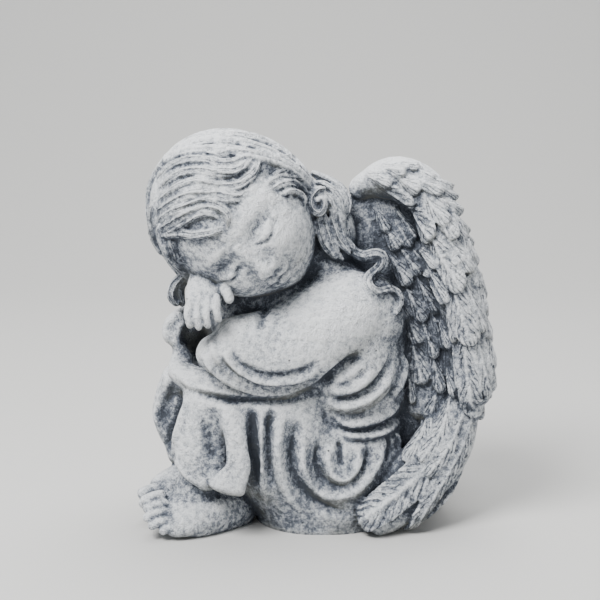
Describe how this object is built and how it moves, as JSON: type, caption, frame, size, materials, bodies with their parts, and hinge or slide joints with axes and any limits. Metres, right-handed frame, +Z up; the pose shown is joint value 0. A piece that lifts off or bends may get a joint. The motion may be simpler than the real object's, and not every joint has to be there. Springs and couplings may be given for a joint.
{
  "type": "sleeping angel statue",
  "caption": "Seated sleeping child angel with folded wings, cast as one piece of stone, head laid on crossed arms over drawn-up knees.",
  "frame": {"origin": "middle of the bounding box, on the ground plane that the statue stands on", "axes": "+Z up, -Y towards the side that is meant to be seen, where the face looks, +X towards the wings"},
  "size_m": [0.2258, 0.1502, 0.25],
  "materials": {
    "cast_stone": "matt cast concrete, pale dry-brushed ridges and a blue-grey wash in the hollows"
  },
  "bodies": {
    "root": {"angel_statue": "cast_stone"}
  },
  "joints": []
}
